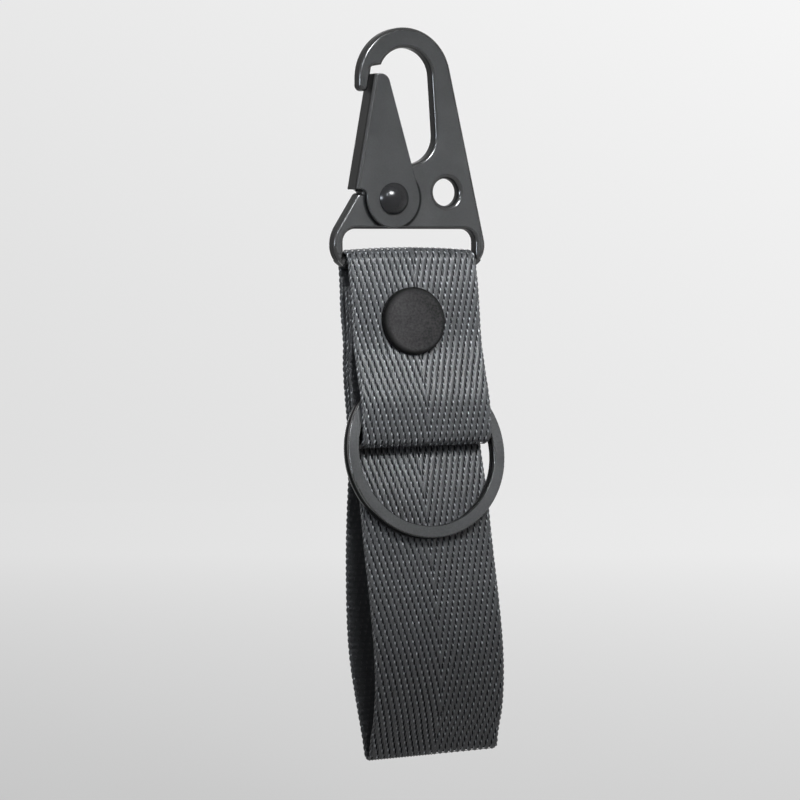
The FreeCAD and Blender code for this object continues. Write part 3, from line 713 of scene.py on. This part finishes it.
def bed_mesh(name, start, end, settings, hole):
    """The crossing yarns of a stretch as one ribbed closed sheet, flat."""
    rows = round((end - start) / settings.pick * BED_ROWS_PER_PICK)
    width = settings.width - 2 * settings.edge_radius
    shape = bmesh.new()
    bmesh.ops.create_grid(shape, x_segments=BED_COLUMNS, y_segments=rows, size=0.5)
    for vertex in shape.verts:
        vertex.co = (width * vertex.co.x, start + (end - start) * (vertex.co.y + 0.5), 0)
    inside = [face for face in shape.faces
              if math.dist(face.calc_center_median()[:2], hole[:2]) < hole[2]]
    bmesh.ops.delete(shape, geom=inside, context="FACES")
    made = bmesh.ops.extrude_face_region(shape, geom=shape.faces[:])
    upper = {item for item in made["geom"] if isinstance(item, bmesh.types.BMVert)}
    for vertex in shape.verts:
        groove = 0.5 - 0.5 * math.cos(2 * math.pi * vertex.co.y / settings.pick)
        if vertex in upper:
            vertex.co.z = settings.bed_top * (1 - FACE_RIB_SHARE * groove)
        else:
            vertex.co.z = -settings.bed_bottom * (1 - REVERSE_RIB_SHARE * groove)
    bmesh.ops.recalc_face_normals(shape, faces=shape.faces[:])
    mesh = bpy.data.meshes.new(name)
    shape.to_mesh(mesh)
    shape.free()
    return mesh


def placed(mesh, name, finish):
    """A piece of webbing at the origin, with its finish."""
    mesh.name = name
    piece = bpy.data.objects.new(name, mesh)
    bpy.context.scene.collection.objects.link(piece)
    mesh.materials.append(finish)
    return piece


def weave_stretch(name, start, end, line, settings, hold, nodes, hole=NO_HOLE):
    """One stretch of webbing: its ribbed bed with the yarns on it."""
    thickness = settings.float_height + settings.yarn_radius
    meshes = {"_bed": bed_mesh(name, start, end, settings, hole),
              "_yarns": yarn_mesh(name, start, end, line, settings, hole)}
    pieces = []
    for (part, mesh), finish in zip(meshes.items(), webbing_finishes(settings)):
        lay_on_strap(mesh, line, thickness)
        pieces.append(placed(mesh, name + part, finish))
        hold(pieces[-1])
    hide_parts(*nodes)


class KEYCLIP_OT_loop(bpy.types.Operator):
    """Weaves the belt loop from the top of the bar down the back, round its foot and up to its end"""
    bl_idname = "keyclip.loop"
    bl_label = "Belt Loop"

    def execute(self, context):
        settings = context.scene.keyclip_webbing
        line = StrapLine()
        back = line.crossing(BACK_SPLIT, 0)
        front = line.crossing(FRONT_SPLIT, 3)

        def on_strap(piece):
            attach(piece, "strap")

        weave_stretch("webbing_loop_back", line.top, back, line, settings, on_strap,
                      ["strap_loop"])
        weave_stretch("webbing_loop_foot", back, front, line, settings, on_strap,
                      ["strap_loop"])
        weave_stretch("webbing_loop_end", front, line.length, line, settings, on_strap,
                      ["strap_loop"])
        return {"FINISHED"}


class KEYCLIP_OT_flap(bpy.types.Operator):
    """Weaves the flap from the top of the bar down to the snap"""
    bl_idname = "keyclip.flap"
    bl_label = "Flap"

    def execute(self, context):
        settings = context.scene.keyclip_webbing
        line = StrapLine()
        split = line.crossing(FLAP_SPLIT, 1)

        def bent(piece):
            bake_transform(piece)

        weave_stretch("webbing_flap", split, line.top, line, settings, bent,
                      ["strap_flap"])
        return {"FINISHED"}


class KEYCLIP_OT_fold(bpy.types.Operator):
    """Weaves the lower flap, the fold through the key ring and the end riveted behind the flap"""
    bl_idname = "keyclip.fold"
    bl_label = "Ring Fold"

    def execute(self, context):
        settings = context.scene.keyclip_webbing
        line = StrapLine()
        split = line.crossing(FLAP_SPLIT, 1)
        hole = (node_middle("snap_socket").x - line.middle, line.crossing(FLAP_SPLIT, 0), SNAP_HOLE_R)

        def bent(piece):
            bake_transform(piece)

        weave_stretch("webbing_ring_fold", 0, split, line, settings, bent,
                      ["strap_ring_fold", "strap_flap"], hole)
        return {"FINISHED"}


def finish_nodes(finish, *nodes):
    """Gives CAD nodes a finish."""
    for name in nodes:
        slots = frame["nodes"][name].data.materials
        slots.clear()
        slots.append(finish)


class KEYCLIP_OT_hook(bpy.types.Operator):
    """Paints the hook plate, with painted shade on its edges and walls and a painted shadow round the
    gate's lobe
    """
    bl_idname = "keyclip.hook"
    bl_label = "Hook Paint"

    def execute(self, context):
        settings = context.scene.keyclip_metal
        pivot = joint_place("gate_pivot")
        lobe = math.hypot(pivot.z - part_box("gate")[0].z, PLATE_HALF)
        lobe_shadow = (pivot + LOBE_SHADOW_SHIFT, lobe + LOBE_SHADOW_OUTER, lobe + LOBE_SHADOW_INNER)
        paint = painted("hook_paint", settings.paint_colour, rough=0.4, grain=5200.0,
                        grain_depth=0.02 * MM, specular=0.12, plate=(Vector(), FACING, PLATE_HALF),
                        rim=lobe_shadow)
        finish_nodes(paint, "hook_body")
        return {"FINISHED"}


class KEYCLIP_OT_gate(bpy.types.Operator):
    """Paints the gate, with painted shade on its edges and walls, blackens its rivet, and finishes the
    spring wire
    """
    bl_idname = "keyclip.gate"
    bl_label = "Gate, Rivet and Springs"

    def execute(self, context):
        settings = context.scene.keyclip_metal
        paint = painted("gate_paint", settings.gate_colour, rough=0.4, grain=5200.0,
                        grain_depth=0.02 * MM, specular=0.15,
                        plate=(Vector(), FACING, node_half("gate").y))
        finish_nodes(paint, "gate")
        black = painted("rivet_black", settings.rivet_colour, rough=0.22, grain=4200.0,
                        grain_depth=0.001 * MM, specular=0.4, mottle=0.05)
        finish_nodes(black, "gate_rivet")
        steel = painted("spring_wire", settings.spring_colour, rough=0.35, grain=3000.0,
                        grain_depth=0.01 * MM, metallic=1.0)
        finish_nodes(steel, "gate_spring", "snap_spring")
        return {"FINISHED"}


class KEYCLIP_OT_snap(bpy.types.Operator):
    """Gives the snap its matt black finish, with painted shade on the cap's rim"""
    bl_idname = "keyclip.snap"
    bl_label = "Snap"

    def execute(self, context):
        settings = context.scene.keyclip_metal
        half = node_half("snap_cap")
        middle = node_middle("snap_cap") - (half.y - CAP_RIM_DEPTH) * FACING
        cap = painted("snap_cap_black", settings.cap_colour, rough=0.6, grain=2600.0,
                      grain_depth=0.12 * MM, specular=0.15, mottle=0.6,
                      rim=(middle, half.x - CAP_RIM_INNER, half.x - CAP_RIM_OUTER))
        finish_nodes(cap, "snap_cap")
        inner = painted("snap_black", settings.cap_colour, rough=0.5, grain=3600.0,
                        grain_depth=0.04 * MM, specular=0.2)
        finish_nodes(inner, "snap_socket", "snap_stud", "snap_post")
        return {"FINISHED"}


class KEYCLIP_OT_ring(bpy.types.Operator):
    """Blackens the key ring, with painted shade on its edges and walls"""
    bl_idname = "keyclip.ring"
    bl_label = "Key Ring"

    def execute(self, context):
        settings = context.scene.keyclip_metal
        plate = (joint_place("ring_spin"), joint_axis("ring_spin"), RING_HALF)
        black = painted("ring_black", settings.ring_colour, rough=0.42, grain=3000.0,
                        grain_depth=0.03 * MM, specular=0.03, plate=plate)
        finish_nodes(black, "key_ring")
        return {"FINISHED"}


# Stage
def shown_rays(signal):
    """One for the rays that the camera, metal and glass see the background by, and otherwise zero."""
    camera, glossy, clear = (signal.node("ShaderNodeLightPath", output=name) for name in
                             ("Is Camera Ray", "Is Glossy Ray", "Is Transmission Ray"))
    return greatest(camera, greatest(glossy, clear))


def paper_tone(place):
    """The paper's painted glow: lighter to the back, to the right and upwards."""
    x, y, z = (place.node("ShaderNodeSeparateXYZ", {0: place}, output=i) for i in range(3))
    cos, sin = math.cos(PAPER_TURN), math.sin(PAPER_TURN)
    right = cos * x - sin * y
    depth = sin * x + cos * y
    side = right / (greatest(depth, 0.0) + SIDE_DEPTH)
    return (PAPER_TONE + BACK_TONE * between(depth, *BACK_RANGE) + SIDE_TONE * between(side, *SIDE_RANGE)
            + HEIGHT_TONE * between(z, *HEIGHT_RANGE))


def backdrop_finish():
    """Pale paper: to the camera and in reflections it glows with painted pale light, and it keeps a soft
    shadow.
    """
    made = bpy.data.materials.new("pale_backdrop")
    made.use_nodes = True
    made.node_tree.nodes.clear()
    signal = Signal(made.node_tree)
    paper = signal.node("ShaderNodeBsdfDiffuse", {"Color": PAPER_GREY})
    glow = signal.node("ShaderNodeEmission", {"Color": paper_tone(object_place(signal)), "Strength": 1.0})
    shown = shown_rays(signal) * PAPER_GLOW_SHARE
    surface = signal.node("ShaderNodeMixShader", {0: shown, 1: paper, 2: glow})
    signal.node("ShaderNodeOutputMaterial", {"Surface": surface})
    return made


def add_backdrop(settings):
    """A floor that curves up into a wall, made from a grid and one bevelled corner."""
    shape = bmesh.new()
    bmesh.ops.create_grid(shape, x_segments=1, y_segments=1, size=FLOOR_HALF)
    back = [edge for edge in shape.edges if all(v.co.y > 0 for v in edge.verts)]
    made = bmesh.ops.extrude_edge_only(shape, edges=back)
    wall = [item for item in made["geom"] if isinstance(item, bmesh.types.BMVert)]
    bmesh.ops.translate(shape, verts=wall, vec=(0, 0, WALL_HEIGHT))
    bmesh.ops.bevel(shape, geom=back, offset=COVE_R, offset_type="OFFSET", affect="EDGES",
                    segments=COVE_SEGMENTS, profile=0.5, material=-1)
    bmesh.ops.translate(shape, verts=shape.verts[:], vec=(0, 0, settings.floor_drop))
    mesh = bpy.data.meshes.new("backdrop")
    shape.to_mesh(mesh)
    shape.free()
    for face in mesh.polygons:
        face.use_smooth = True
    backdrop = bpy.data.objects.new("backdrop", mesh)
    bpy.context.scene.collection.objects.link(backdrop)
    mesh.materials.append(backdrop_finish())


def add_sky(settings):
    """Even light from all round, which shows a plain grey."""
    world = bpy.data.worlds.new("even_light")
    bpy.context.scene.world = world
    world.use_nodes = True
    background = world.node_tree.nodes["Background"]
    background.inputs["Color"].default_value = (1, 1, 1, 1)
    shown = shown_rays(Signal(world.node_tree))
    (settings.ambient + (SKY_TONE - settings.ambient) * shown).to(background, "Strength")


def add_lights():
    """The lamps, each turned to the height that it points at."""
    for name, place, aim, size, power, beam, colour in LIGHTS:
        light = bpy.data.lights.new(name, "AREA")
        light.shape = "RECTANGLE"
        light.size, light.size_y = size
        light.energy = power
        light.spread = math.radians(beam)
        light.color = colour
        lamp = bpy.data.objects.new(name, light)
        lamp.location = place
        lamp.rotation_euler = (Vector((0, 0, aim)) - lamp.location).to_track_quat("-Z", "Y").to_euler()
        bpy.context.scene.collection.objects.link(lamp)


def add_camera(settings):
    """The camera, to the left of the front and a little above the clip."""
    data = bpy.data.cameras.new("camera")
    data.lens = settings.camera_lens
    data.sensor_width = SENSOR_WIDTH
    data.clip_start = CLIP_START
    camera = bpy.data.objects.new("camera", data)
    level = math.cos(settings.camera_lift)
    back = Vector((-math.sin(settings.camera_yaw) * level, -math.cos(settings.camera_yaw) * level,
                   math.sin(settings.camera_lift)))
    camera.location = CAMERA_TARGET + settings.camera_distance * back
    camera.rotation_euler = (-back).to_track_quat("-Z", "Y").to_euler()
    bpy.context.scene.collection.objects.link(camera)
    bpy.context.scene.camera = camera


class KEYCLIP_OT_stage(bpy.types.Operator):
    """Sets up the backdrop, the even light, the lamps and the camera"""
    bl_idname = "keyclip.stage"
    bl_label = "Stage"

    def execute(self, context):
        settings = context.scene.keyclip_stage
        context.scene.view_settings.view_transform = "Standard"
        add_sky(settings)
        add_backdrop(settings)
        add_lights()
        add_camera(settings)
        return {"FINISHED"}


# Add-on
class KEYCLIP_PT_sidebar(bpy.types.Panel):
    """Lists the pieces of the clip in the order in which they are made, and their settings"""
    bl_idname = "KEYCLIP_PT_sidebar"
    bl_label = "Belt Key Clip"
    bl_space_type = "VIEW_3D"
    bl_region_type = "UI"
    bl_category = "Key Clip"

    def draw(self, context):
        for operator in OPERATORS:
            self.layout.operator(operator.bl_idname)
        for name in GROUPS:
            settings = getattr(context.scene, name)
            for key in settings.bl_rna.properties.keys():
                if key not in ("rna_type", "name"):
                    self.layout.prop(settings, key)


OPERATORS = (KEYCLIP_OT_stage, KEYCLIP_OT_hook, KEYCLIP_OT_gate, KEYCLIP_OT_snap, KEYCLIP_OT_ring,
             KEYCLIP_OT_loop, KEYCLIP_OT_flap, KEYCLIP_OT_fold)
GROUPS = {"keyclip_webbing": KeyClipWebbing, "keyclip_metal": KeyClipMetal, "keyclip_stage": KeyClipStage}


def register():
    """Registers the classes and gives the scene its settings."""
    for made in (*GROUPS.values(), *OPERATORS, KEYCLIP_PT_sidebar):
        bpy.utils.register_class(made)
    for name, group in GROUPS.items():
        setattr(bpy.types.Scene, name, bpy.props.PointerProperty(type=group))


def unregister():
    """Takes the settings and the classes away again."""
    for name in GROUPS:
        delattr(bpy.types.Scene, name)
    for made in (KEYCLIP_PT_sidebar, *reversed(OPERATORS), *GROUPS.values()):
        bpy.utils.unregister_class(made)


def main():
    """Makes the clip piece by piece."""
    register()
    bpy.ops.keyclip.stage()
    bpy.ops.keyclip.hook()
    bpy.ops.keyclip.gate()
    bpy.ops.keyclip.snap()
    bpy.ops.keyclip.ring()
    bpy.ops.keyclip.loop()
    bpy.ops.keyclip.flap()
    bpy.ops.keyclip.fold()


if __name__ == "__main__":
    main()
